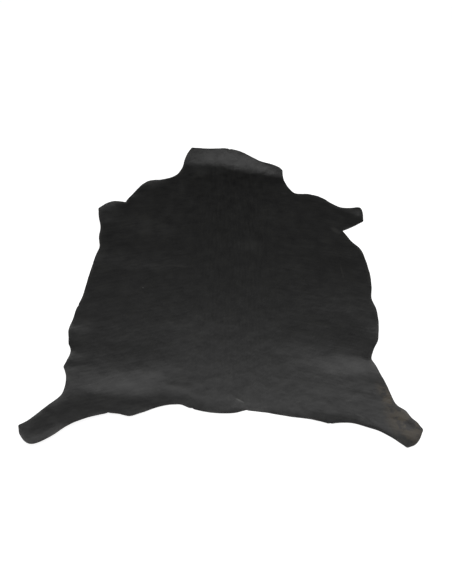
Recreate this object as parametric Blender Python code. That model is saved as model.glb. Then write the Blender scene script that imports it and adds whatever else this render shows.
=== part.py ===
"""A whole black leather hide, spread on a floor with the folds that it took when it was laid down.

The hide is one sheet, cut in one piece. Its plan outline is written section by section round the cut
edge, and each fold is a crest line with a rise and a width on either side. The underside is exactly
flat where it touches the floor, and the sheet's thickness goes on top of it.

Metres, +Z up. The spine runs along Y with the neck at +Y, and the floor is Z = 0.
"""
import math
from collections import namedtuple

import bpy
import numpy as np
from mathutils import Vector
from mathutils.geometry import delaunay_2d_cdt

# Driving dimensions
THICKNESS = 0.0025       # tanned side leather, flesh side to grain side
EDGE_STEP = 0.020        # spacing of the points along the cut edge
FINE_STEP = 0.0125       # spacing where a fold bends sharply
BENT_RATIO = 2           # a bent area has every second point each way
FLAT_RATIO = 4           # a flat area has every fourth point each way
CREST_STEP = 0.008       # spacing of the points along a fold's crest
TOUCHING = 0.0004        # below this lift the hide counts as lying flat
SHARP_BEND = 18.0        # change of slope in a metre above which the fine step is used
SOFT_BEND = 0.9          # change of slope in a metre below which an area counts as flat
EDGE_CLEARANCE = 0.55    # inner points stay this share of their step from the edge
SMOOTH_ANGLE = math.radians(50)

# The cut edge, anticlockwise from above, starting at the neck's left corner.
# A corner breaks the curve that runs through the points.
Edge = namedtuple("Edge", "x y corner", defaults=[False])
EDGE = {
    "neck, left side": [
        Edge(-0.289, 1.037, corner=True),
        Edge(-0.316, 1.004),
        Edge(-0.337, 0.959),
        Edge(-0.354, 0.893),
    ],
    "left shoulder": [
        Edge(-0.390, 0.824),
        Edge(-0.473, 0.762),
        Edge(-0.558, 0.744),
        Edge(-0.603, 0.719),
        Edge(-0.641, 0.667),
    ],
    "left foreleg": [
        Edge(-0.697, 0.530, corner=True),
        Edge(-0.750, 0.524),
        Edge(-0.810, 0.500),
        Edge(-0.859, 0.459, corner=True),
        Edge(-0.849, 0.394),
        Edge(-0.830, 0.317),
        Edge(-0.827, 0.224),
    ],
    "left belly": [
        Edge(-0.811, 0.142),
        Edge(-0.827, 0.065),
        Edge(-0.846, -0.111),
        Edge(-0.857, -0.237),
        Edge(-0.876, -0.325),
        Edge(-0.881, -0.396),
        Edge(-0.894, -0.470),
        Edge(-0.885, -0.518),
        Edge(-0.877, -0.560, corner=True),
    ],
    "left flank": [
        Edge(-0.857, -0.606),
        Edge(-0.867, -0.662),
        Edge(-0.877, -0.703, corner=True),
        Edge(-0.857, -0.755),
        Edge(-0.851, -0.809),
        Edge(-0.861, -0.866),
    ],
    "left hind leg": [
        Edge(-0.915, -0.924),
        Edge(-1.001, -1.012),
        Edge(-1.028, -1.033, corner=True),
        Edge(-1.014, -1.076),
        Edge(-0.977, -1.119),
        Edge(-0.938, -1.128),
        Edge(-0.859, -1.091),
        Edge(-0.809, -1.050),
        Edge(-0.731, -1.006),
        Edge(-0.623, -0.971),
    ],
    "rump, left half": [
        Edge(-0.561, -0.973),
        Edge(-0.516, -0.984),
        Edge(-0.461, -0.966),
        Edge(-0.393, -0.936),
        Edge(-0.325, -0.918),
        Edge(-0.277, -0.916),
        Edge(-0.225, -0.936),
        Edge(-0.135, -0.958),
    ],
    "rump, right half": [
        Edge(-0.015, -0.961),
        Edge(0.036, -0.947),
        Edge(0.080, -0.950),
        Edge(0.143, -0.959),
        Edge(0.251, -0.980),
        Edge(0.357, -0.997),
        Edge(0.440, -1.021, corner=True),
        Edge(0.489, -1.014),
        Edge(0.549, -1.017),
    ],
    "right hind leg": [
        Edge(0.604, -1.033),
        Edge(0.666, -1.056),
        Edge(0.722, -1.091),
        Edge(0.778, -1.140, corner=True),
        Edge(0.816, -1.127),
        Edge(0.847, -1.096),
        Edge(0.873, -1.048, corner=True),
        Edge(0.854, -1.010),
        Edge(0.834, -0.988),
        Edge(0.812, -0.950, corner=True),
        Edge(0.771, -0.912),
        Edge(0.757, -0.862),
    ],
    "right flank": [
        Edge(0.742, -0.796),
        Edge(0.726, -0.744),
        Edge(0.701, -0.682),
        Edge(0.691, -0.662, corner=True),
        Edge(0.693, -0.644),
        Edge(0.711, -0.600),
        Edge(0.730, -0.564),
        Edge(0.747, -0.532),
    ],
    "right belly": [
        Edge(0.767, -0.425),
        Edge(0.771, -0.338),
        Edge(0.756, -0.254),
        Edge(0.769, -0.173),
        Edge(0.775, -0.089),
        Edge(0.770, 0.029),
        Edge(0.752, 0.132),
        Edge(0.712, 0.190),
    ],
    "right foreleg": [
        Edge(0.666, 0.286, corner=True),
        Edge(0.710, 0.311),
        Edge(0.804, 0.372, corner=True),
        Edge(0.809, 0.435),
        Edge(0.795, 0.481),
        Edge(0.736, 0.486),
        Edge(0.681, 0.496),
        Edge(0.631, 0.531),
    ],
    "right shoulder": [
        Edge(0.570, 0.587),
        Edge(0.486, 0.626),
        Edge(0.397, 0.638),
        Edge(0.362, 0.690),
        Edge(0.334, 0.775),
    ],
    "neck, right side": [
        Edge(0.327, 0.851, corner=True),
        Edge(0.304, 0.875),
        Edge(0.245, 0.902),
        Edge(0.178, 0.924),
        Edge(0.110, 0.962),
        Edge(0.041, 0.999),
        Edge(-0.030, 1.021, corner=True),
        Edge(-0.060, 1.026),
        Edge(-0.198, 1.029),
    ],
}

# The folds. A crest runs through its points, and at each one it has a rise above the floor and the width
# of the slope on its left and on its right, seen along the crest from its first point to its last.
# A round crest has peak 0, and a creased one has peak 1.
Crest = namedtuple("Crest", "x y rise left right peak", defaults=[0.0])
FOLDS = {
    "neck edge rolled up": [
        Crest(-0.370, 1.160, 0.084, 0.10, 0.26),
        Crest(-0.220, 1.145, 0.092, 0.10, 0.27),
        Crest(-0.110, 1.120, 0.088, 0.10, 0.24),
        Crest(0.000, 1.070, 0.078, 0.10, 0.21),
        Crest(0.110, 0.995, 0.062, 0.10, 0.17),
        Crest(0.220, 0.940, 0.050, 0.09, 0.14),
        Crest(0.315, 0.880, 0.030, 0.08, 0.10),
        Crest(0.385, 0.830, 0.006, 0.08, 0.08),
    ],
    "left shoulder edge lifted": [
        Crest(-0.680, 0.670, 0.004, 0.05, 0.08),
        Crest(-0.626, 0.737, 0.013, 0.05, 0.11),
        Crest(-0.570, 0.770, 0.021, 0.05, 0.13),
        Crest(-0.485, 0.790, 0.016, 0.05, 0.12),
        Crest(-0.410, 0.840, 0.005, 0.05, 0.08),
        Crest(-0.350, 0.890, 0.000, 0.05, 0.06),
    ],
    "left foreleg edge lifted": [
        Crest(-0.910, 0.460, 0.004, 0.05, 0.08),
        Crest(-0.850, 0.530, 0.014, 0.05, 0.10),
        Crest(-0.770, 0.570, 0.018, 0.05, 0.10),
        Crest(-0.690, 0.575, 0.006, 0.05, 0.08),
        Crest(-0.620, 0.580, 0.000, 0.05, 0.06),
    ],
    "long slope down from the left foreleg": [
        Crest(-0.930, 0.500, 0.012, 0.10, 0.45),
        Crest(-0.790, 0.560, 0.014, 0.10, 0.50),
        Crest(-0.640, 0.580, 0.009, 0.10, 0.45),
        Crest(-0.500, 0.620, 0.004, 0.10, 0.30),
        Crest(-0.400, 0.660, 0.000, 0.08, 0.20),
    ],
    "bend below the left foreleg": [
        Crest(-0.930, 0.500, 0.018, 0.08, 0.22),
        Crest(-0.790, 0.545, 0.018, 0.08, 0.22),
        Crest(-0.660, 0.555, 0.005, 0.08, 0.19),
        Crest(-0.560, 0.580, 0.000, 0.08, 0.12),
    ],
    "right shoulder edge lifted": [
        Crest(0.350, 0.680, 0.000, 0.05, 0.06),
        Crest(0.430, 0.655, 0.006, 0.05, 0.07),
        Crest(0.520, 0.630, 0.008, 0.05, 0.08),
        Crest(0.600, 0.585, 0.008, 0.05, 0.07),
        Crest(0.660, 0.535, 0.004, 0.05, 0.06),
        Crest(0.710, 0.505, 0.001, 0.05, 0.05),
    ],
    "right foreleg tip turned up": [
        Crest(0.620, 0.560, 0.000, 0.05, 0.06),
        Crest(0.700, 0.530, 0.008, 0.05, 0.08),
        Crest(0.780, 0.525, 0.018, 0.05, 0.12),
        Crest(0.850, 0.505, 0.026, 0.05, 0.15),
        Crest(0.890, 0.460, 0.024, 0.05, 0.15),
    ],
    "pleat at the right foreleg's notch": [
        Crest(0.540, 0.380, 0.000, 0.06, 0.06),
        Crest(0.610, 0.340, 0.003, 0.05, 0.07),
        Crest(0.690, 0.285, 0.004, 0.05, 0.07),
    ],
    "low ridge across the left ribs": [
        Crest(-0.900, 0.150, 0.011, 0.16, 0.18),
        Crest(-0.760, 0.145, 0.010, 0.16, 0.18),
        Crest(-0.560, 0.130, 0.008, 0.16, 0.18),
        Crest(-0.360, 0.110, 0.005, 0.15, 0.17),
        Crest(-0.200, 0.080, 0.000, 0.10, 0.12),
    ],
    "low swell under the right ribs": [
        Crest(0.300, -0.100, 0.000, 0.20, 0.30),
        Crest(0.420, -0.120, 0.004, 0.26, 0.50),
        Crest(0.600, -0.130, 0.005, 0.26, 0.50),
        Crest(0.820, -0.140, 0.005, 0.25, 0.50),
    ],
    "wave in the right belly edge": [
        Crest(0.660, -0.430, 0.000, 0.06, 0.07),
        Crest(0.740, -0.420, 0.003, 0.06, 0.08),
        Crest(0.820, -0.410, 0.005, 0.06, 0.08),
    ],
    "first wave in the left belly edge": [
        Crest(-0.930, -0.395, 0.005, 0.06, 0.07),
        Crest(-0.840, -0.400, 0.003, 0.06, 0.07),
        Crest(-0.750, -0.410, 0.000, 0.06, 0.06),
    ],
    "second wave in the left belly edge": [
        Crest(-0.920, -0.590, 0.006, 0.05, 0.06),
        Crest(-0.840, -0.595, 0.004, 0.05, 0.06),
        Crest(-0.740, -0.600, 0.000, 0.05, 0.05),
    ],
    "hump on the left haunch": [
        Crest(-0.940, -0.690, 0.003, 0.20, 0.14),
        Crest(-0.820, -0.695, 0.003, 0.20, 0.14),
        Crest(-0.700, -0.705, 0.004, 0.20, 0.16),
        Crest(-0.600, -0.710, 0.005, 0.18, 0.17),
        Crest(-0.510, -0.705, 0.005, 0.17, 0.17),
        Crest(-0.430, -0.675, 0.004, 0.16, 0.16),
        Crest(-0.360, -0.650, 0.002, 0.14, 0.14),
        Crest(-0.290, -0.630, 0.000, 0.10, 0.12),
    ],
    "broad swell in front of the left haunch": [
        Crest(-0.790, -0.700, 0.000, 0.40, 0.12),
        Crest(-0.700, -0.705, 0.002, 0.50, 0.16),
        Crest(-0.600, -0.710, 0.005, 0.55, 0.17),
        Crest(-0.510, -0.705, 0.005, 0.55, 0.17),
        Crest(-0.430, -0.675, 0.004, 0.50, 0.16),
        Crest(-0.360, -0.650, 0.002, 0.45, 0.14),
        Crest(-0.290, -0.630, 0.000, 0.40, 0.12),
    ],
    "ridge on the right haunch": [
        Crest(0.180, -0.545, 0.000, 0.10, 0.10),
        Crest(0.300, -0.555, 0.004, 0.20, 0.16),
        Crest(0.410, -0.575, 0.007, 0.26, 0.17),
        Crest(0.487, -0.608, 0.011, 0.28, 0.15),
        Crest(0.557, -0.630, 0.014, 0.28, 0.13, peak=0.1),
        Crest(0.627, -0.655, 0.015, 0.25, 0.12, peak=0.5),
        Crest(0.690, -0.670, 0.014, 0.20, 0.12, peak=1.0),
        Crest(0.740, -0.680, 0.014, 0.18, 0.12, peak=1.0),
    ],
    "lip along the left leg and the rump's left half": [
        Crest(-1.020, -1.220, 0.014, 0.16, 0.03),
        Crest(-0.960, -1.195, 0.019, 0.18, 0.03),
        Crest(-0.840, -1.130, 0.023, 0.21, 0.03),
        Crest(-0.710, -1.055, 0.023, 0.22, 0.03),
        Crest(-0.570, -1.020, 0.018, 0.19, 0.03),
        Crest(-0.440, -0.995, 0.013, 0.15, 0.03),
        Crest(-0.320, -0.960, 0.008, 0.12, 0.03),
        Crest(-0.220, -0.965, 0.005, 0.10, 0.03),
        Crest(-0.110, -0.985, 0.004, 0.08, 0.03),
        Crest(0.000, -0.985, 0.002, 0.07, 0.03),
        Crest(0.070, -0.975, 0.000, 0.05, 0.03),
    ],
    "lip of the rump's right half": [
        Crest(0.120, -0.970, 0.000, 0.05, 0.03),
        Crest(0.250, -0.995, 0.003, 0.06, 0.03),
        Crest(0.380, -1.020, 0.006, 0.07, 0.03),
        Crest(0.500, -1.030, 0.007, 0.07, 0.03),
        Crest(0.610, -1.045, 0.003, 0.06, 0.03),
        Crest(0.710, -1.090, 0.000, 0.05, 0.03),
    ],
    "lip under the right shank": [
        Crest(0.640, -1.085, 0.000, 0.06, 0.03),
        Crest(0.720, -1.130, 0.004, 0.08, 0.03),
        Crest(0.790, -1.175, 0.009, 0.10, 0.03),
        Crest(0.850, -1.150, 0.007, 0.09, 0.03),
        Crest(0.900, -1.080, 0.000, 0.06, 0.03),
    ],
    "left hind tip turned up": [
        Crest(-1.040, -1.000, 0.008, 0.08, 0.03),
        Crest(-1.050, -1.045, 0.014, 0.09, 0.03),
        Crest(-1.025, -1.100, 0.010, 0.08, 0.03),
        Crest(-0.980, -1.145, 0.003, 0.06, 0.03),
    ],
}


def blend(start, end, low, high, knot):
    """The point between start and end that lies as far along as knot lies between low and high."""
    share = (knot - low) / (high - low)
    return start * (1.0 - share) + end * share


def smooth_line(rows, step):
    """Rows about step apart on a centripetal Catmull-Rom curve through rows, whose first columns are x, y."""
    rows = np.array(rows, dtype=float)
    padded = np.vstack([2 * rows[0] - rows[1], rows, 2 * rows[-1] - rows[-2]])
    line = []
    for a, b, c, d in zip(padded, padded[1:], padded[2:], padded[3:]):
        gaps = [math.hypot(*(end - start)[:2]) for start, end in ((a, b), (b, c), (c, d))]
        t0, t1, t2, t3 = np.cumsum([0.0] + [math.sqrt(gap) for gap in gaps])
        count = max(1, round(gaps[1] / step))
        for t in np.linspace(t1, t2, count, endpoint=False):
            ab = blend(a, b, t0, t1, t)
            bc = blend(b, c, t1, t2, t)
            cd = blend(c, d, t2, t3, t)
            line.append(blend(blend(ab, bc, t0, t2, t), blend(bc, cd, t1, t3, t), t1, t2, t))
    line.append(rows[-1])
    return np.array(line)


def cut_edge():
    """The closed cut edge as an array of x, y, about EDGE_STEP apart."""
    places = [place for section in EDGE.values() for place in section]
    places.append(places[0])
    loop = []
    run = [places[0]]
    for place in places[1:]:
        run.append(place)
        if place.corner:
            loop.extend(smooth_line([(each.x, each.y) for each in run], EDGE_STEP)[:-1])
            run = [place]
    return np.array(loop)


def fold_lift(x, y, fold):
    """How far one fold lifts the points x, y: a bell across a round crest, a peak across a creased one."""
    crest = smooth_line(fold, CREST_STEP)
    along = np.gradient(crest[:, :2], axis=0)
    dx = x[:, None] - crest[None, :, 0]
    dy = y[:, None] - crest[None, :, 1]
    away = np.hypot(dx, dy)
    nearest = away.argmin(axis=1)
    pick = np.arange(len(x))
    on_left = along[nearest, 0] * dy[pick, nearest] - along[nearest, 1] * dx[pick, nearest] > 0
    rise, left, right, peak = crest[nearest, 2:].T
    reach = np.clip(away[pick, nearest] / np.where(on_left, left, right), 0.0, 1.0)
    round_slope = (1.0 - reach ** 2) ** 2
    creased_slope = (1.0 - reach) ** 2
    return np.clip(rise, 0.0, None) * (round_slope + np.clip(peak, 0.0, 1.0) * (creased_slope - round_slope))


def lift(x, y):
    """Height of the hide's underside over the floor at the points x, y."""
    x = np.asarray(x, dtype=float)
    y = np.asarray(y, dtype=float)
    height = sum(fold_lift(x, y, fold) for fold in FOLDS.values())
    return np.where(height < TOUCHING, 0.0, height - TOUCHING)


def inside(x, y, loop):
    """Whether each point x, y lies inside the closed loop, by counting the edges above it."""
    odd = np.zeros(len(x), dtype=bool)
    for (x1, y1), (x2, y2) in zip(loop, np.roll(loop, -1, axis=0)):
        if x1 != x2:
            spans = (x1 > x) != (x2 > x)
            odd ^= spans & (y < y1 + (x - x1) * (y2 - y1) / (x2 - x1))
    return odd


def inner_points(loop):
    """Points inside the loop on a square grid: fine on sharp folds, wider on soft ones, widest where flat."""
    low = np.floor(loop.min(axis=0) / FINE_STEP).astype(int)
    high = np.ceil(loop.max(axis=0) / FINE_STEP).astype(int)
    column, row = np.meshgrid(np.arange(low[0], high[0]), np.arange(low[1], high[1]))
    column, row = column.ravel(), row.ravel()
    x, y = column * FINE_STEP, row * FINE_STEP
    height = lift(x, y)
    side = FINE_STEP
    around = lift(x + side, y) + lift(x - side, y) + lift(x, y + side) + lift(x, y - side)
    bend = np.abs(around - 4.0 * height) / side ** 2
    ratio = np.where(bend > SOFT_BEND, BENT_RATIO, FLAT_RATIO)
    ratio = np.where(bend > SHARP_BEND, 1, ratio)
    on_grid = (column % ratio == 0) & (row % ratio == 0)
    x, y, ratio = x[on_grid], y[on_grid], ratio[on_grid]
    held = inside(x, y, loop)
    x, y, ratio = x[held], y[held], ratio[held]
    to_edge = np.hypot(x[:, None] - loop[None, :, 0], y[:, None] - loop[None, :, 1]).min(axis=1)
    clear = to_edge > EDGE_CLEARANCE * np.maximum(ratio * FINE_STEP, EDGE_STEP)
    return np.column_stack([x[clear], y[clear]])


def sheet_mesh():
    """The underside of the hide: triangles inside the cut edge, lifted by the folds."""
    loop = cut_edge()
    points = np.vstack([loop, inner_points(loop)])
    flat = [Vector((x, y)) for x, y in points]
    boundary = list(range(len(loop)))
    verts, _, faces, _, _, _ = delaunay_2d_cdt(flat, [], [boundary], 1, 1e-6)
    heights = lift([v.x for v in verts], [v.y for v in verts])
    mesh = bpy.data.meshes.new("hide")
    mesh.from_pydata([(v.x, v.y, z) for v, z in zip(verts, heights)], [], faces)
    mesh.validate()
    return mesh


def black_leather():
    """Black drum-dyed leather with a soft satin face."""
    material = bpy.data.materials.new("black leather")
    material.use_nodes = True
    shader = material.node_tree.nodes["Principled BSDF"]
    shader.inputs["Base Color"].default_value = (0.017, 0.016, 0.015, 1.0)
    shader.inputs["Roughness"].default_value = 0.55
    shader.inputs["Metallic"].default_value = 0.0
    return material


def make_hide():
    mesh = sheet_mesh()
    hide = bpy.data.objects.new("hide", mesh)
    bpy.context.scene.collection.objects.link(hide)
    mesh.materials.append(black_leather())
    mesh.shade_smooth()
    mesh.set_sharp_from_angle(angle=SMOOTH_ANGLE)
    thick = hide.modifiers.new("leather thickness", "SOLIDIFY")
    thick.thickness = THICKNESS
    thick.offset = 1.0
    return hide


for old in list(bpy.data.objects):
    bpy.data.objects.remove(old, do_unlink=True)
make_hide()
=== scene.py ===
"""The looks of a whole black cowhide that lies spread on a pale floor, seen from its rump end.

The leather is one thin sheet on the folds of the CAD hide, with its finer creases listed one by one.
Metres, +Z up, the spine along Y with the neck at +Y, as in the CAD model.
"""
import math
from collections import namedtuple

import bmesh
import bpy
import numpy as np
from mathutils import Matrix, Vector, noise
from mathutils.bvhtree import BVHTree
from mathutils.geometry import delaunay_2d_cdt
from mathutils.kdtree import KDTree


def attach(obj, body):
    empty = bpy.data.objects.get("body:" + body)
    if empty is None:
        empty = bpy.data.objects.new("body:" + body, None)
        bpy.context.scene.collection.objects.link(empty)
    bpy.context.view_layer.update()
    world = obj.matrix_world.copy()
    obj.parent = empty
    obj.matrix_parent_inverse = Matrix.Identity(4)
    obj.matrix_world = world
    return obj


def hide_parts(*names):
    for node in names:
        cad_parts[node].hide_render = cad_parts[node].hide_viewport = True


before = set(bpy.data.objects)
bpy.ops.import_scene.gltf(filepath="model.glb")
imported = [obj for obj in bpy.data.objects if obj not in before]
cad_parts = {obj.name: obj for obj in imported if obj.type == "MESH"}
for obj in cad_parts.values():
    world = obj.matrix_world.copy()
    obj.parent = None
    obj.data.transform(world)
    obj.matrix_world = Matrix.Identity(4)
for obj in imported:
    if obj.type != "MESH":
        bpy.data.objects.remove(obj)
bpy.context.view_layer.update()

# Sizes of the leather
THICKNESS = 0.0025         # flesh side to grain side
GRID_STEP = 0.010          # spacing of the sheet's points
FINE_STEP = 0.005          # spacing where a fold bends sharply
CUT_STEP = 0.007           # spacing of the points along the cut edge
SHARP_BEND = 9.0           # change of slope in a metre above which the fine step is used
CREST_STEP = 0.005         # spacing of the points along a crease's crest
EDGE_CLEARANCE = 0.6       # inner points stay this share of CUT_STEP from the cut edge
RIM_EDGE = 1.6 * THICKNESS    # no other edge of the CAD hide is shorter than this
GUIDE_ROUNDING = 2         # subdivision of the CAD hide, which rounds its facets
GUIDE_SMOOTHING = 2        # rounds of smoothing for the heights read off it
SMOOTH_ANGLE = math.radians(50)

# The camera stands at the rump end and looks down at the hide.
SENSOR = 36.0
CAMERA_PLACE = (-0.0536, -2.326, 2.533)
LOOKS_DOWN = math.radians(50)
FOCAL_LENGTH = 36.2

# The studio
FLOOR_DROP = 0.0004
FLOOR_SIZE = 40.0
SOFT_BOX_PLACE = (0.1, -0.3, 3.2)
SOFT_BOX_SIZE = (6.0, 2.4)
SOFT_BOX_POWER = 103.0
HORIZON_GLOW = 0.90
CEILING_GLOW = 0.07
PALE_UP_TO = 0.10          # the walls are pale up to this sine of the angle above the horizon
DIM_FROM = 0.38            # and the room is dim above this one


def build_camera():
    data = bpy.data.cameras.new("camera")
    data.sensor_width = SENSOR
    data.lens = FOCAL_LENGTH
    data.clip_end = 100.0
    camera = bpy.data.objects.new("camera", data)
    camera.location = CAMERA_PLACE
    camera.rotation_euler = (math.pi / 2 - LOOKS_DOWN, 0.0, 0.0)
    bpy.context.scene.collection.objects.link(camera)
    bpy.context.scene.camera = camera


def build_soft_box():
    """A wide soft box that hangs over the hide and faces down."""
    data = bpy.data.lights.new("soft box", "AREA")
    data.shape = "RECTANGLE"
    data.size, data.size_y = SOFT_BOX_SIZE
    data.energy = SOFT_BOX_POWER
    light = bpy.data.objects.new("soft box", data)
    light.location = SOFT_BOX_PLACE
    light.rotation_euler = Vector((0.0, 0.0, -1.0)).to_track_quat("-Z", "Y").to_euler()
    bpy.context.scene.collection.objects.link(light)


def build_studio():
    """The soft box, a dim room round it and a pale floor."""
    build_soft_box()
    bpy.context.scene.world = dim_room()
    bpy.context.scene.view_settings.view_transform = "Standard"
    bpy.ops.mesh.primitive_plane_add(size=FLOOR_SIZE, location=(0.0, 0.0, -FLOOR_DROP))
    floor = bpy.context.object
    floor.name = "floor"
    floor.data.materials.append(floor_paint())


def dim_room():
    """A dim room whose pale walls catch the light low down, so that the horizon is pale too."""
    world = bpy.data.worlds.new("dim room with pale walls")
    world.use_nodes = True
    tree = world.node_tree
    direction = add(tree, "ShaderNodeTexCoord").outputs["Generated"]
    height = add(tree, "ShaderNodeSeparateXYZ", {"Vector": direction}).outputs["Z"]
    glow = add(tree, "ShaderNodeMapRange", {"Value": height, "From Min": PALE_UP_TO, "From Max": DIM_FROM,
                                            "To Min": HORIZON_GLOW, "To Max": CEILING_GLOW},
               interpolation_type="SMOOTHSTEP")
    tree.links.new(glow.outputs["Result"], tree.nodes["Background"].inputs["Color"])
    return world


# The colours of the leather, as sRGB values
DYE_DEEP = "#010101"
DYE_THIN = "#1e1e1d"
DYE_PALE = "#252524"           # in the paler clouds
DYE_WORN = "#3a3937"           # along the cut edge
MARK_AND_HIGHLIGHT_PALE = "#4c4b49"
MARK_AND_SHADE_DARK = "#020202"
SHANK_DARK = "#120f0c"
SHANK_BROWN = "#40382b"
SUEDE_DARK = "#2a2726"
SUEDE_PALE = "#4a4644"
FIBRE_DARK = "#141312"
FIBRE_PALE = "#2c2927"
FLOOR_GREY = "#b4b4b4"

# The sizes of its patterns
STREAK_WIDTH = 0.012
STREAK_LENGTH = 0.110
FLANK_SLANT = math.radians(-14)    # the flanks' streaks lean back from straight across
CLOUD_SIZE = 0.065
GRAIN_SIZE = 0.0025
BLOTCH_SIZE = 0.050
NAP_SIZE = 0.004
FIBRE_SIZE = 0.002

# Marks in the grain, with painted highlights along some creases' crests and painted shade where the hide
# turns from the light. Each is a soft ellipse, whose length is turned by so many degrees from +X, and is more
# or less strong.
Mark = namedtuple("Mark", "x y length width turn depth")
LIGHT_MARKS_AND_HIGHLIGHTS = [
    Mark(0.617, -0.045, 0.190, 0.016, 93, 0.14),    # long scratch on the right ribs
    Mark(-0.5235, -0.171, 0.012, 0.009, 0, 1.00),   # healed fleck on the left ribs
    Mark(0.300, -0.899, 0.040, 0.014, 20, 0.20),
    Mark(0.540, -0.894, 0.050, 0.016, 10, 0.20),
    Mark(0.587, -0.975, 0.070, 0.016, -25, 0.30),
    Mark(0.625, 0.290, 0.110, 0.050, -45, 0.20),    # stretched grain at the foreleg's notch
    # a light streak painted along the crest of the crease along the left ribs: painted highlight
    Mark(-0.330, -0.005, 0.260, 0.022, -5, 0.12),
    Mark(0.012, -0.892, 0.062, 0.013, -32, 0.60),   # light streak painted along the crest of the tail root crease: painted highlight
]
DARK_MARKS_AND_SHADE = [
    Mark(0.000, 0.745, 0.110, 0.030, 90, 0.90),     # the spine on the neck
    Mark(-0.070, 0.600, 0.080, 0.030, 80, 0.60),
    Mark(-0.460, 0.500, 0.070, 0.030, 30, 0.60),
    # painted shade: darker patches down the left flank, where that side turns from the light
    Mark(-0.700, -0.060, 0.200, 0.090, 10, 0.50),
    Mark(-0.745, -0.230, 0.200, 0.120, 20, 0.60),
    Mark(0.600, 0.020, 0.340, 0.160, -5, 0.50),
    # painted shade, lower on the left flank
    Mark(-0.720, -0.430, 0.400, 0.180, 80, 0.50),
    Mark(-0.010, -0.855, 0.040, 0.022, 10, 0.70),   # painted shade just behind the tail root crease's crest
    Mark(-0.010, -0.790, 0.180, 0.045, 90, 0.80),
    Mark(0.230, -0.570, 0.070, 0.050, 0, 0.60),
]
# Paler clouds, where the dye is worn
PALE_CLOUDS = [
    Mark(-0.560, 0.330, 0.600, 0.260, -15, 1.00),
    Mark(0.250, 0.420, 0.300, 0.160, 10, 0.60),
    Mark(-0.200, -0.430, 0.500, 0.260, 5, 0.60),
    Mark(0.420, -0.800, 0.500, 0.220, 8, 0.60),
    Mark(-0.820, -0.450, 0.140, 0.200, 0, 0.80),
    Mark(-0.230, 0.840, 0.340, 0.130, 0, 1.00),
    Mark(0.070, 0.155, 0.260, 0.140, 0, 1.00),
    Mark(0.330, -0.020, 0.200, 0.110, 0, 0.80),
    Mark(-0.500, -0.020, 0.300, 0.080, -5, 0.80),
    Mark(-0.800, 0.060, 0.140, 0.240, 0, 0.80),
]
# The brownish patch on the right shank
SHANK_PATCH = [
    Mark(0.800, -1.020, 0.330, 0.210, -55, 1.00),
    Mark(0.735, -0.880, 0.260, 0.100, -75, 0.90),
]


def linear(hex_colour):
    """A linear RGBA colour from an sRGB hex value."""
    channels = [int(hex_colour[i:i + 2], 16) / 255 for i in (1, 3, 5)]
    return tuple(c / 12.92 if c <= 0.04045 else ((c + 0.055) / 1.055) ** 2.4 for c in channels) + (1.0,)


def add(tree, kind, inputs=None, **settings):
    """A node with its settings; each input is a value, or the socket that is linked to it."""
    node = tree.nodes.new(kind)
    for name, value in settings.items():
        setattr(node, name, value)
    for key, value in (inputs or {}).items():
        if isinstance(value, bpy.types.NodeSocket):
            tree.links.new(value, node.inputs[key])
        else:
            node.inputs[key].default_value = value
    return node


def new_material(name):
    material = bpy.data.materials.new(name)
    material.use_nodes = True
    return material, material.node_tree, material.node_tree.nodes["Principled BSDF"]


def floor_paint():
    """Matt white studio paint, lit from within like a light table, so that it stays white all over."""
    material, _, shader = new_material("matt white floor paint")
    shader.inputs["Base Color"].default_value = linear(FLOOR_GREY)
    shader.inputs["Roughness"].default_value = 0.9
    shader.inputs["Specular IOR Level"].default_value = 0.1
    shader.inputs["Emission Color"].default_value = (1.0, 1.0, 1.0, 1.0)
    shader.inputs["Emission Strength"].default_value = 0.90
    return material


def growth_streaks(tree, where):
    """Noise drawn out along the way the hair grew: down the back, and outwards and back on the flanks.

    A streak is what a group of pore lines looks like from afar. Returned are a broad and a narrow noise.
    """
    places = add(tree, "ShaderNodeSeparateXYZ", {"Vector": where})
    side = add(tree, "ShaderNodeMath", {0: places.outputs["X"]}, operation="ABSOLUTE").outputs[0]
    halves = add(tree, "ShaderNodeCombineXYZ", {"X": side, "Y": places.outputs["Y"]}).outputs["Vector"]
    down_back = add(tree, "ShaderNodeMapping", {"Vector": where, "Scale": (STREAK_WIDTH, STREAK_LENGTH, 1.0)},
                    vector_type="TEXTURE")
    to_belly = add(tree, "ShaderNodeMapping", {"Vector": halves, "Rotation": (0.0, 0.0, FLANK_SLANT),
                                               "Scale": (STREAK_LENGTH, STREAK_WIDTH, 1.0)},
                   vector_type="TEXTURE")
    on_flank = add(tree, "ShaderNodeMapRange", {"Value": side, "From Min": 0.10, "From Max": 0.34},
                   interpolation_type="SMOOTHSTEP").outputs["Result"]
    streaks = []
    for size in (1.0, 3.0):
        back = add(tree, "ShaderNodeTexNoise", {"Vector": down_back.outputs["Vector"], "Scale": size,
                                                "Detail": 2.0, "Roughness": 0.5})
        flank = add(tree, "ShaderNodeTexNoise", {"Vector": to_belly.outputs["Vector"], "Scale": size,
                                                 "Detail": 2.0, "Roughness": 0.5})
        joined = add(tree, "ShaderNodeMix", {0: on_flank, 2: back.outputs["Fac"], 3: flank.outputs["Fac"]})
        streaks.append(joined.outputs[0])
    return streaks


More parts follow.
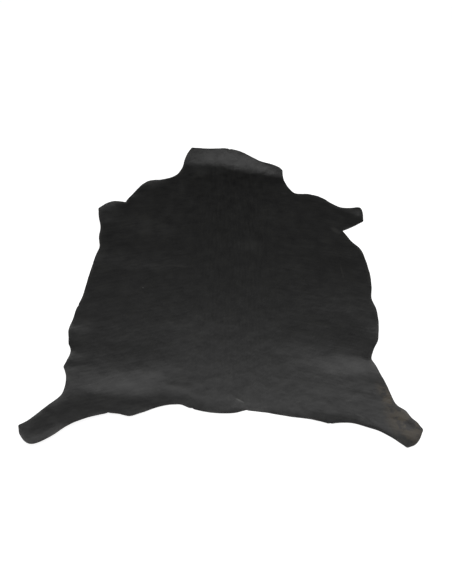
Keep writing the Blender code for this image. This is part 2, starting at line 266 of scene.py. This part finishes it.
def mark_cover(tree, where, marks):
    """How much the marks cover each place: each is a soft ellipse, lying at its angle."""
    total = None
    for mark in marks:
        own = add(tree, "ShaderNodeMapping", {"Vector": where, "Location": (mark.x, mark.y, 0.0),
                                              "Rotation": (0.0, 0.0, math.radians(mark.turn)),
                                              "Scale": (mark.length / 2, mark.width / 2, 1.0)},
                  vector_type="TEXTURE")
        away = add(tree, "ShaderNodeVectorMath", {0: own.outputs["Vector"]}, operation="LENGTH")
        cover = add(tree, "ShaderNodeMapRange", {"Value": away.outputs["Value"], "From Min": 0.2,
                                                 "From Max": 1.0, "To Min": mark.depth, "To Max": 0.0},
                    interpolation_type="SMOOTHSTEP").outputs["Result"]
        if total is not None:
            cover = add(tree, "ShaderNodeMath", {0: total, 1: cover}, operation="MAXIMUM").outputs[0]
        total = cover
    return total


def mixed(tree, cover, under, over):
    """The colour under, with the colour over laid on it where cover is 1."""
    return add(tree, "ShaderNodeMix", {0: cover, 6: under, 7: over}, data_type="RGBA").outputs[2]


def grain_colour(tree, where, clouds, streaks):
    """The dye, uneven over the hide, with the marks laid on it, and painted highlights and painted shade
    among them.
    """
    uneven = add(tree, "ShaderNodeMix", {0: 0.4, 2: clouds, 3: streaks}).outputs[0]
    depth = add(tree, "ShaderNodeMapRange", {"Value": uneven, "From Min": 0.32, "From Max": 0.68})
    dye = mixed(tree, depth.outputs["Result"], linear(DYE_DEEP), linear(DYE_THIN))
    pale = add(tree, "ShaderNodeMath", {0: mark_cover(tree, where, PALE_CLOUDS), 1: depth.outputs["Result"]},
               operation="MULTIPLY").outputs[0]
    dye = mixed(tree, pale, dye, linear(DYE_PALE))

    # the dye is worn thin in uneven stretches along the cut edge
    edge = add(tree, "ShaderNodeAttribute", attribute_name="near the cut edge").outputs["Fac"]
    dye = mixed(tree, edge, dye, linear(DYE_WORN))
    # lighter marks and painted highlights, then darker marks and painted shade
    dye = mixed(tree, mark_cover(tree, where, LIGHT_MARKS_AND_HIGHLIGHTS), dye, linear(MARK_AND_HIGHLIGHT_PALE))
    dye = mixed(tree, mark_cover(tree, where, DARK_MARKS_AND_SHADE), dye, linear(MARK_AND_SHADE_DARK))

    # on the right shank the dye is thin over the hide's own brown, which is blotched
    blotch = add(tree, "ShaderNodeTexNoise", {"Vector": where, "Scale": 1 / BLOTCH_SIZE, "Detail": 3.0,
                                              "Roughness": 0.6}).outputs["Fac"]
    parts = add(tree, "ShaderNodeMapRange", {"Value": blotch, "From Min": 0.38, "From Max": 0.56},
                interpolation_type="SMOOTHSTEP").outputs["Result"]
    brown = mixed(tree, parts, linear(SHANK_DARK), linear(SHANK_BROWN))
    return mixed(tree, mark_cover(tree, where, SHANK_PATCH), dye, brown)


def black_grain_side():
    """Cow leather, drum dyed black with a brushed grain.

    The dye gives a neutral near-black, the brushing a wide soft gloss with no hard highlight, and the
    hair pores run in short lines from the backbone outwards and down the legs.
    """
    material, tree, shader = new_material("black drum-dyed cow leather, brushed grain")
    where = add(tree, "ShaderNodeTexCoord").outputs["Object"]
    broad, narrow = growth_streaks(tree, where)

    # clouds where the hide took the dye unevenly
    clouds = add(tree, "ShaderNodeTexNoise", {"Vector": where, "Scale": 1 / CLOUD_SIZE, "Detail": 2.0,
                                              "Roughness": 0.5}).outputs["Fac"]
    # leather grain, its 1 mm pebbles drawn larger so that they show
    grain = add(tree, "ShaderNodeTexVoronoi", {"Vector": where, "Scale": 1 / GRAIN_SIZE}, feature="SMOOTH_F1")
    tree.links.new(grain_colour(tree, where, clouds, broad), shader.inputs["Base Color"])

    rough = add(tree, "ShaderNodeMapRange", {"Value": clouds, "From Min": 0.3, "From Max": 0.7,
                                             "To Min": 0.44, "To Max": 0.40})
    tree.links.new(rough.outputs["Result"], shader.inputs["Roughness"])

    wavy = add(tree, "ShaderNodeBump", {"Height": clouds, "Strength": 0.5, "Distance": 0.0050})
    low = add(tree, "ShaderNodeBump", {"Height": broad, "Strength": 0.4, "Distance": 0.0011,
                                       "Normal": wavy.outputs["Normal"]})
    pores = add(tree, "ShaderNodeBump", {"Height": narrow, "Strength": 0.2, "Distance": 0.0006,
                                         "Normal": low.outputs["Normal"]})
    fine = add(tree, "ShaderNodeBump", {"Height": grain.outputs["Distance"], "Strength": 0.15,
                                        "Distance": 0.0005, "Normal": pores.outputs["Normal"]})
    tree.links.new(fine.outputs["Normal"], shader.inputs["Normal"])
    shader.inputs["Specular IOR Level"].default_value = 0.5
    return material


def grey_flesh_side():
    """The flesh side, shaved and buffed: a dark grey suede with a short matt nap and no gloss."""
    material, tree, shader = new_material("dark grey buffed flesh side")
    where = add(tree, "ShaderNodeTexCoord").outputs["Object"]
    nap = add(tree, "ShaderNodeTexNoise", {"Vector": where, "Scale": 1 / NAP_SIZE, "Detail": 5.0,
                                           "Roughness": 0.7}).outputs["Fac"]
    shade = mixed(tree, nap, linear(SUEDE_DARK), linear(SUEDE_PALE))
    tree.links.new(shade, shader.inputs["Base Color"])
    bump = add(tree, "ShaderNodeBump", {"Height": nap, "Strength": 0.4, "Distance": 0.0008})
    tree.links.new(bump.outputs["Normal"], shader.inputs["Normal"])
    shader.inputs["Roughness"].default_value = 0.95
    shader.inputs["Specular IOR Level"].default_value = 0.2
    return material


def raw_cut_edge():
    """The knife-cut edge: dyed fibre, a little greyer than the face, and dull."""
    material, tree, shader = new_material("raw cut leather edge")
    where = add(tree, "ShaderNodeTexCoord").outputs["Object"]
    fibre = add(tree, "ShaderNodeTexNoise", {"Vector": where, "Scale": 1 / FIBRE_SIZE,
                                             "Detail": 3.0}).outputs["Fac"]
    shade = mixed(tree, fibre, linear(FIBRE_DARK), linear(FIBRE_PALE))
    tree.links.new(shade, shader.inputs["Base Color"])
    shader.inputs["Roughness"].default_value = 0.9
    return material


# The CAD hide as a guide

def cad_copy():
    """A copy of the CAD hide's mesh with its doubles merged, in world space."""
    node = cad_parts["hide"]
    mesh = bmesh.new()
    mesh.from_mesh(node.data)
    mesh.transform(node.matrix_world)
    bmesh.ops.remove_doubles(mesh, verts=mesh.verts, dist=1e-5)
    return mesh


def cut_line(mesh):
    """The CAD hide's cut edge as a closed loop of x, y, walked round the faces of its rim.

    The rim's short edges are as long as the leather is thick, and one triangle joins each to the next.
    """
    owner = {}
    for edge in mesh.edges:
        if edge.calc_length() < RIM_EDGE:
            for vertex in edge.verts:
                owner[vertex] = edge
    start = next(iter(owner.values()))
    loop = [start]
    seen = {start}
    while True:
        onward = {owner[v] for face in loop[-1].link_faces for v in face.verts if v in owner} - seen
        if not onward:
            break
        nearest = min(onward, key=lambda edge: (edge.verts[0].co - loop[-1].verts[0].co).length)
        loop.append(nearest)
        seen.add(nearest)
    middles = [(edge.verts[0].co + edge.verts[1].co) / 2 for edge in loop]
    return np.array([(point.x, point.y) for point in middles])


def rounded_guide(mesh):
    """A ray-casting tree of the CAD hide, its facets rounded by subdivision and its rim kept sharp."""
    crease = mesh.edges.layers.float.new("crease_edge")
    rim = {face for edge in mesh.edges if edge.calc_length() < RIM_EDGE for face in edge.link_faces}
    for face in rim:
        for edge in face.edges:
            edge[crease] = 1.0
    data = bpy.data.meshes.new("guide")
    mesh.to_mesh(data)
    guide = bpy.data.objects.new("guide", data)
    bpy.context.scene.collection.objects.link(guide)
    rounding = guide.modifiers.new("rounding", "SUBSURF")
    rounding.levels = GUIDE_ROUNDING
    rounding.render_levels = GUIDE_ROUNDING
    tree = BVHTree.FromObject(guide, bpy.context.evaluated_depsgraph_get())
    bpy.data.objects.remove(guide)
    bpy.data.meshes.remove(data)
    return tree


# The lie of the leather: a map of heights on a square grid

class HeightMap:
    """Heights on a square grid over the hide, with the places of its points."""

    def __init__(self, loop):
        margin = 8
        self.low = np.floor(loop.min(axis=0) / FINE_STEP).astype(int) - margin
        self.high = np.ceil(loop.max(axis=0) / FINE_STEP).astype(int) + margin
        self.columns = np.arange(self.low[0], self.high[0] + 1)
        self.rows = np.arange(self.low[1], self.high[1] + 1)
        self.x, self.y = np.meshgrid(self.columns * FINE_STEP, self.rows * FINE_STEP)
        self.z = np.full(self.x.shape, np.nan)

    def take_from(self, tree):
        """Reads the heights of the guide's upper face from above, and carries them on past the cut edge."""
        down = Vector((0.0, 0.0, -1.0))
        for place in np.ndindex(self.z.shape):
            hit = tree.ray_cast(Vector((self.x[place], self.y[place], 1.0)), down)[0]
            if hit is not None:
                self.z[place] = hit.z
        while np.isnan(self.z).any():
            known = ~np.isnan(self.z)
            total = shifted_sum(np.where(known, self.z, 0.0))
            count = shifted_sum(known.astype(float))
            reach = ~known & (count > 0)
            self.z[reach] = total[reach] / count[reach]

    def smooth(self, rounds):
        for _ in range(rounds):
            self.z = (self.z * 4.0 + shifted_sum(self.z, edge=True)) / 8.0

    def bend(self):
        """How fast the slope changes at each point, per metre."""
        return np.abs(shifted_sum(self.z, edge=True) - 4.0 * self.z) / FINE_STEP ** 2

    def at(self, x, y):
        """Heights between the grid's points."""
        u = np.asarray(x) / FINE_STEP - self.low[0]
        v = np.asarray(y) / FINE_STEP - self.low[1]
        i, j = np.floor(u).astype(int), np.floor(v).astype(int)
        u, v = u - i, v - j
        near = self.z[j, i] * (1 - u) + self.z[j, i + 1] * u
        far = self.z[j + 1, i] * (1 - u) + self.z[j + 1, i + 1] * u
        return near * (1 - v) + far * v


def shifted_sum(values, edge=False):
    """The sum of each value's four neighbours on the grid."""
    padded = np.pad(values, 1, mode="edge" if edge else "constant")
    return padded[:-2, 1:-1] + padded[2:, 1:-1] + padded[1:-1, :-2] + padded[1:-1, 2:]


# Fine creases in the leather. A crest runs through its points, and at each one it has a
# rise and the width of the slope on its left and its right, seen from its first point to its last.
Crest = namedtuple("Crest", "x y rise left right")
CREASES = {
    "first wrinkle across the neck": [
        Crest(-0.310, 0.755, 0.0000, 0.030, 0.030),
        Crest(-0.200, 0.772, 0.0005, 0.034, 0.040),
        Crest(-0.070, 0.786, 0.0003, 0.030, 0.036),
        Crest(0.060, 0.774, 0.0005, 0.034, 0.034),
        Crest(0.200, 0.752, 0.0000, 0.030, 0.030),
    ],
    "second wrinkle across the neck": [
        Crest(-0.330, 0.660, 0.0000, 0.028, 0.030),
        Crest(-0.180, 0.690, 0.0005, 0.032, 0.040),
        Crest(0.010, 0.692, 0.0003, 0.030, 0.034),
        Crest(0.180, 0.668, 0.0004, 0.030, 0.034),
        Crest(0.300, 0.640, 0.0000, 0.026, 0.028),
    ],
    "third wrinkle across the neck": [
        Crest(-0.380, 0.560, 0.0000, 0.028, 0.030),
        Crest(-0.260, 0.590, 0.0004, 0.030, 0.038),
        Crest(-0.110, 0.598, 0.0005, 0.034, 0.036),
        Crest(0.030, 0.580, 0.0000, 0.026, 0.030),
    ],
    "crease along the left ribs": [
        Crest(-0.560, 0.060, 0.0000, 0.012, 0.014),
        Crest(-0.480, 0.022, 0.0003, 0.013, 0.018),
        Crest(-0.370, -0.005, 0.0002, 0.012, 0.016),
        Crest(-0.240, -0.018, 0.0003, 0.013, 0.018),
        Crest(-0.150, -0.020, 0.0000, 0.012, 0.014),
    ],
    "slanting crease by the spine": [
        Crest(-0.200, -0.015, 0.0000, 0.012, 0.012),
        Crest(-0.140, 0.060, 0.0003, 0.014, 0.016),
        Crest(-0.080, 0.125, 0.0000, 0.012, 0.012),
    ],
    "crease in front of the left flank": [
        Crest(-0.900, -0.430, 0.0012, 0.030, 0.034),
        Crest(-0.840, -0.446, 0.0010, 0.028, 0.036),
        Crest(-0.770, -0.455, 0.0004, 0.024, 0.030),
        Crest(-0.700, -0.450, 0.0000, 0.020, 0.024),
    ],
    "swell before the left haunch": [
        Crest(-0.960, -0.670, 0.0022, 0.200, 0.190),
        Crest(-0.840, -0.680, 0.0024, 0.200, 0.180),
        Crest(-0.720, -0.695, 0.0024, 0.200, 0.170),
        Crest(-0.640, -0.705, 0.0010, 0.190, 0.160),
        Crest(-0.560, -0.720, 0.0000, 0.180, 0.150),
    ],
    "hump drawn out towards the rump": [
        Crest(-0.720, -0.755, 0.0000, 0.080, 0.090),
        Crest(-0.640, -0.760, 0.0012, 0.100, 0.120),
        Crest(-0.560, -0.760, 0.0014, 0.100, 0.120),
        Crest(-0.470, -0.740, 0.0006, 0.090, 0.110),
        Crest(-0.400, -0.720, 0.0000, 0.080, 0.090),
    ],
    "swell across the right ribs": [
        Crest(0.380, -0.150, 0.0000, 0.180, 0.140),
        Crest(0.520, -0.180, 0.0020, 0.270, 0.260),
        Crest(0.660, -0.190, 0.0026, 0.290, 0.280),
        Crest(0.820, -0.200, 0.0026, 0.290, 0.280),
    ],
    "ridge sinks at the right flank": [
        Crest(0.520, -0.640, 0.0000, 0.090, 0.110),
        Crest(0.600, -0.655, -0.0010, 0.100, 0.120),
        Crest(0.680, -0.672, -0.0026, 0.110, 0.130),
        Crest(0.760, -0.690, -0.0036, 0.110, 0.130),
    ],
    "long foot of the neck's roll": [
        Crest(-0.440, 0.925, 0.0000, 0.220, 0.110),
        Crest(-0.330, 0.950, 0.0120, 0.260, 0.135),
        Crest(-0.190, 0.955, 0.0125, 0.280, 0.135),
        Crest(-0.070, 0.945, 0.0080, 0.260, 0.125),
        Crest(0.030, 0.930, 0.0000, 0.220, 0.110),
    ],
    "roll drawn up beside the spine": [
        Crest(-0.080, 1.090, 0.0000, 0.100, 0.100),
        Crest(0.000, 1.070, 0.0070, 0.100, 0.120),
        Crest(0.080, 1.030, 0.0070, 0.100, 0.120),
        Crest(0.170, 0.990, 0.0000, 0.100, 0.100),
    ],
    "roll tucked in on the right": [
        Crest(0.020, 0.935, 0.0000, 0.080, 0.080),
        Crest(0.100, 0.905, -0.0050, 0.080, 0.090),
        Crest(0.180, 0.885, -0.0050, 0.070, 0.080),
        Crest(0.260, 0.865, -0.0030, 0.060, 0.070),
        Crest(0.310, 0.850, 0.0000, 0.050, 0.060),
    ],
    "left foreleg drawn up": [
        Crest(-0.830, 0.640, 0.0020, 0.070, 0.060),
        Crest(-0.760, 0.670, 0.0045, 0.080, 0.075),
        Crest(-0.680, 0.680, 0.0045, 0.080, 0.080),
        Crest(-0.600, 0.680, 0.0000, 0.070, 0.070),
    ],
    "left shoulder drawn up": [
        Crest(-0.680, 0.730, 0.0000, 0.080, 0.090),
        Crest(-0.580, 0.800, 0.0070, 0.080, 0.120),
        Crest(-0.500, 0.820, 0.0070, 0.080, 0.120),
        Crest(-0.420, 0.860, 0.0000, 0.080, 0.090),
    ],
    "haunch rising to the left leg": [
        Crest(-1.000, -1.060, 0.0060, 0.380, 0.100),
        Crest(-0.900, -1.040, 0.0090, 0.440, 0.100),
        Crest(-0.800, -1.020, 0.0085, 0.440, 0.100),
        Crest(-0.700, -1.015, 0.0040, 0.360, 0.100),
        Crest(-0.600, -1.020, 0.0000, 0.280, 0.100),
    ],
    "turn of the right foreleg's tip": [
        Crest(0.640, 0.470, 0.0000, 0.040, 0.050),
        Crest(0.720, 0.470, 0.0026, 0.045, 0.058),
        Crest(0.820, 0.465, 0.0042, 0.045, 0.062),
    ],
    "crease at the left flank": [
        Crest(-0.900, -0.705, 0.0016, 0.034, 0.034),
        Crest(-0.820, -0.700, 0.0012, 0.034, 0.036),
        Crest(-0.740, -0.690, 0.0006, 0.030, 0.034),
        Crest(-0.660, -0.690, 0.0000, 0.024, 0.028),
    ],
    "crease over the left shank": [
        Crest(-0.960, -0.930, 0.0000, 0.022, 0.024),
        Crest(-0.905, -0.965, 0.0011, 0.026, 0.030),
        Crest(-0.850, -1.010, 0.0008, 0.024, 0.028),
        Crest(-0.800, -1.055, 0.0000, 0.020, 0.022),
    ],
    "crease beside the left haunch": [
        Crest(-0.480, -0.815, 0.0000, 0.026, 0.026),
        Crest(-0.380, -0.800, 0.0007, 0.030, 0.034),
        Crest(-0.280, -0.815, 0.0006, 0.028, 0.034),
        Crest(-0.170, -0.840, 0.0000, 0.024, 0.026),
    ],
    "tail root": [
        Crest(-0.026, -0.868, 0.0000, 0.010, 0.012),
        Crest(-0.010, -0.878, 0.0004, 0.011, 0.012),
        Crest(0.014, -0.888, 0.0006, 0.011, 0.012),
        Crest(0.034, -0.905, 0.0004, 0.010, 0.012),
        Crest(0.044, -0.922, 0.0000, 0.010, 0.010),
    ],
    "crease behind the right haunch": [
        Crest(0.420, -0.830, 0.0000, 0.028, 0.030),
        Crest(0.520, -0.845, 0.0006, 0.034, 0.036),
        Crest(0.620, -0.870, 0.0008, 0.034, 0.040),
        Crest(0.700, -0.905, 0.0003, 0.030, 0.034),
        Crest(0.750, -0.935, 0.0000, 0.024, 0.026),
    ],
    "crease over the right shank": [
        Crest(0.700, -0.985, 0.0000, 0.020, 0.024),
        Crest(0.762, -1.000, 0.0009, 0.024, 0.030),
        Crest(0.822, -1.035, 0.0007, 0.022, 0.028),
        Crest(0.866, -1.075, 0.0000, 0.018, 0.022),
    ],
    "crease in the right belly edge": [
        Crest(0.800, -0.130, 0.0012, 0.030, 0.034),
        Crest(0.745, -0.142, 0.0007, 0.028, 0.032),
        Crest(0.690, -0.160, 0.0000, 0.024, 0.026),
    ],
    "crease behind the right foreleg": [
        Crest(0.560, 0.400, 0.0000, 0.020, 0.024),
        Crest(0.640, 0.412, 0.0007, 0.024, 0.030),
        Crest(0.720, 0.420, 0.0006, 0.022, 0.028),
        Crest(0.780, 0.428, 0.0000, 0.020, 0.022),
    ],
}

# Cuts and wear in the hide's edge: the middle of a nick, its half width along the edge and its depth.
Nick = namedtuple("Nick", "x y reach depth")
NICKS = [
    Nick(-0.029, 1.021, 0.016, 0.006),
    Nick(-0.217, -0.936, 0.014, 0.006),
    Nick(0.045, -0.946, 0.014, 0.004),
    Nick(-0.615, -0.971, 0.018, 0.005),
    Nick(0.440, -1.021, 0.015, 0.004),
    Nick(-0.872, -0.300, 0.020, 0.004),
]
EDGE_RAGGED = 0.0012      # how far the knife strayed
EDGE_CURL = 0.0022        # most that the cut edge curls up
CURL_REACH = 0.018        # over this much of the edge

# Noise along the cut edge: the length of its stretches and where it starts
KNIFE_NOISE = (0.040, 5.0)
CURL_NOISE = (0.090, 9.0)
WEAR_NOISE = (0.070, 13.0)

# Low swells in a hide that doesn't lie quite flat: their width, their height and where their noise starts
UNEVENNESS = [
    (0.300, 0.0012, 3.0),
    (0.120, 0.0005, 17.0),
    (0.060, 0.00026, 41.0),
]
SETTLED = 0.0005          # the lowest swells press down to the floor


def blend(start, end, low, high, knot):
    share = (knot - low) / (high - low)
    return start * (1.0 - share) + end * share


def smooth_line(rows, step):
    """Rows about step apart on a centripetal Catmull-Rom curve through rows, whose first columns are x, y."""
    rows = np.array(rows, dtype=float)
    padded = np.vstack([2 * rows[0] - rows[1], rows, 2 * rows[-1] - rows[-2]])
    line = []
    for a, b, c, d in zip(padded, padded[1:], padded[2:], padded[3:]):
        gaps = [math.hypot(*(end - start)[:2]) for start, end in ((a, b), (b, c), (c, d))]
        t0, t1, t2, t3 = np.cumsum([0.0] + [math.sqrt(gap) for gap in gaps])
        count = max(1, round(gaps[1] / step))
        for t in np.linspace(t1, t2, count, endpoint=False):
            ab, bc, cd = blend(a, b, t0, t1, t), blend(b, c, t1, t2, t), blend(c, d, t2, t3, t)
            line.append(blend(blend(ab, bc, t0, t2, t), blend(bc, cd, t1, t3, t), t1, t2, t))
    line.append(rows[-1])
    return np.array(line)


def crease_lift(x, y, rows):
    """How far one crease lifts the points x, y: a bell across its crest, and a trough where it sinks."""
    crest = smooth_line(rows, CREST_STEP)
    along = np.gradient(crest[:, :2], axis=0)
    lifted = np.zeros(x.shape)
    widest = max(max(row.left, row.right) for row in rows)
    near = (x > crest[:, 0].min() - widest) & (x < crest[:, 0].max() + widest)
    near &= (y > crest[:, 1].min() - widest) & (y < crest[:, 1].max() + widest)
    dx = x[near][:, None] - crest[None, :, 0]
    dy = y[near][:, None] - crest[None, :, 1]
    away = np.hypot(dx, dy)
    pick = np.arange(len(away))
    nearest = away.argmin(axis=1)
    on_left = along[nearest, 0] * dy[pick, nearest] - along[nearest, 1] * dx[pick, nearest] > 0
    rise, left, right = crest[nearest, 2:].T
    reach = np.clip(away[pick, nearest] / np.where(on_left, left, right), 0.0, 1.0)
    lifted[near] = rise * (1.0 - reach ** 2) ** 2
    return lifted


def field(x, y, width, seed):
    """Smooth noise from -1 to 1 at the points x, y, with swells about width across."""
    return np.array([noise.noise((px / width, py / width, seed)) for px, py in zip(x, y)])


def lie_of_the_leather(loop, tree):
    """The height map of the hide's upper face: the CAD folds, the fine creases and the hide's unevenness."""
    lie = HeightMap(loop)
    lie.take_from(tree)
    lie.smooth(GUIDE_SMOOTHING)
    for rows in CREASES.values():
        lie.z += crease_lift(lie.x, lie.y, rows)
    for width, height, seed in UNEVENNESS:
        share = field(lie.x.ravel(), lie.y.ravel(), width, seed).reshape(lie.x.shape)
        lie.z += height * np.clip(0.5 + 0.5 * share, 0.0, 1.0)
    lie.z -= SETTLED
    return lie


# The sheet of leather

def inside(x, y, loop):
    """Whether each point x, y lies inside the closed loop, by counting the edges above it."""
    odd = np.zeros(x.shape, dtype=bool)
    for (x1, y1), (x2, y2) in zip(loop, np.roll(loop, -1, axis=0)):
        if x1 != x2:
            spans = (x1 > x) != (x2 > x)
            odd ^= spans & (y < y1 + (x - x1) * (y2 - y1) / (x2 - x1))
    return odd


def distance_to(loop, x, y):
    """Distance of each point x, y from the closed loop's points."""
    line = KDTree(len(loop))
    for index, (px, py) in enumerate(loop):
        line.insert((px, py, 0.0), index)
    line.balance()
    return np.array([line.find((px, py, 0.0))[2] for px, py in zip(x, y)])


def inner_points(loop, lie):
    """Points of the height map that lie inside the cut edge: each one where it bends, or every second one."""
    column, row = np.meshgrid(lie.columns, lie.rows)
    coarse = round(GRID_STEP / FINE_STEP)
    kept = (lie.bend() > SHARP_BEND) | ((column % coarse == 0) & (row % coarse == 0))
    kept &= inside(lie.x, lie.y, loop)
    x, y = lie.x[kept], lie.y[kept]
    clear = distance_to(loop, x, y) > EDGE_CLEARANCE * CUT_STEP
    return np.column_stack([x[clear], y[clear]])


def knife_cut(loop):
    """The cut edge as the knife left it: it strays a little, with a few nicks."""
    ahead = np.roll(loop, -1, axis=0) - np.roll(loop, 1, axis=0)
    inward = np.column_stack([-ahead[:, 1], ahead[:, 0]]) / np.hypot(*ahead.T)[:, None]
    depth = EDGE_RAGGED * field(loop[:, 0], loop[:, 1], *KNIFE_NOISE)
    for nick in NICKS:
        away = np.hypot(loop[:, 0] - nick.x, loop[:, 1] - nick.y) / nick.reach
        depth += nick.depth * (1.0 - np.clip(away, 0.0, 1.0)) ** 2
    return loop + inward * depth[:, None]


def grain_face(loop, lie):
    """The mesh of the hide's upper face: triangles inside the cut edge, raised by the height map."""
    points = np.vstack([loop, inner_points(loop, lie)])
    flat = [Vector((x, y)) for x, y in points]
    verts, _, faces, _, _, _ = delaunay_2d_cdt(flat, [], [list(range(len(loop)))], 1, 1e-6)
    x = np.array([v.x for v in verts])
    y = np.array([v.y for v in verts])
    by_edge = np.clip(1.0 - distance_to(loop, x, y) / CURL_REACH, 0.0, 1.0)
    uneven = np.clip(0.5 + field(x, y, *CURL_NOISE), 0.0, 1.0)
    z = np.maximum(lie.at(x, y) + EDGE_CURL * uneven * by_edge ** 2, THICKNESS)
    mesh = bpy.data.meshes.new("leather_hide")
    mesh.from_pydata(np.column_stack([x, y, z]).tolist(), [], faces)
    worn = mesh.attributes.new("near the cut edge", "FLOAT", "POINT")
    worn.data.foreach_set("value", by_edge * np.clip(0.3 + field(x, y, *WEAR_NOISE), 0.0, 1.0))
    mesh.shade_smooth()
    return mesh


def give_thickness(hide):
    """Turns the grain face into the whole sheet, with its flesh side below and its cut edge round it."""
    thick = hide.modifiers.new("thickness", "SOLIDIFY")
    thick.thickness = THICKNESS
    thick.offset = -1.0
    thick.material_offset = 1
    thick.material_offset_rim = 2
    bpy.ops.object.select_all(action="DESELECT")
    bpy.context.view_layer.objects.active = hide
    hide.select_set(True)
    bpy.ops.object.modifier_apply(modifier=thick.name)
    bpy.ops.object.shade_smooth_by_angle(angle=SMOOTH_ANGLE)


def make_hide():
    guide = cad_copy()
    rim = cut_line(guide)
    closed = np.vstack([rim, rim[:1]])
    loop = knife_cut(smooth_line(closed, CUT_STEP)[:-1])
    lie = lie_of_the_leather(loop, rounded_guide(guide))
    guide.free()

    hide = bpy.data.objects.new("leather_hide", grain_face(loop, lie))
    bpy.context.scene.collection.objects.link(hide)
    for material in (black_grain_side(), grey_flesh_side(), raw_cut_edge()):
        hide.data.materials.append(material)
    give_thickness(hide)
    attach(hide, "root")
    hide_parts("hide")


bpy.ops.object.select_all(action="DESELECT")
build_camera()
build_studio()
make_hide()
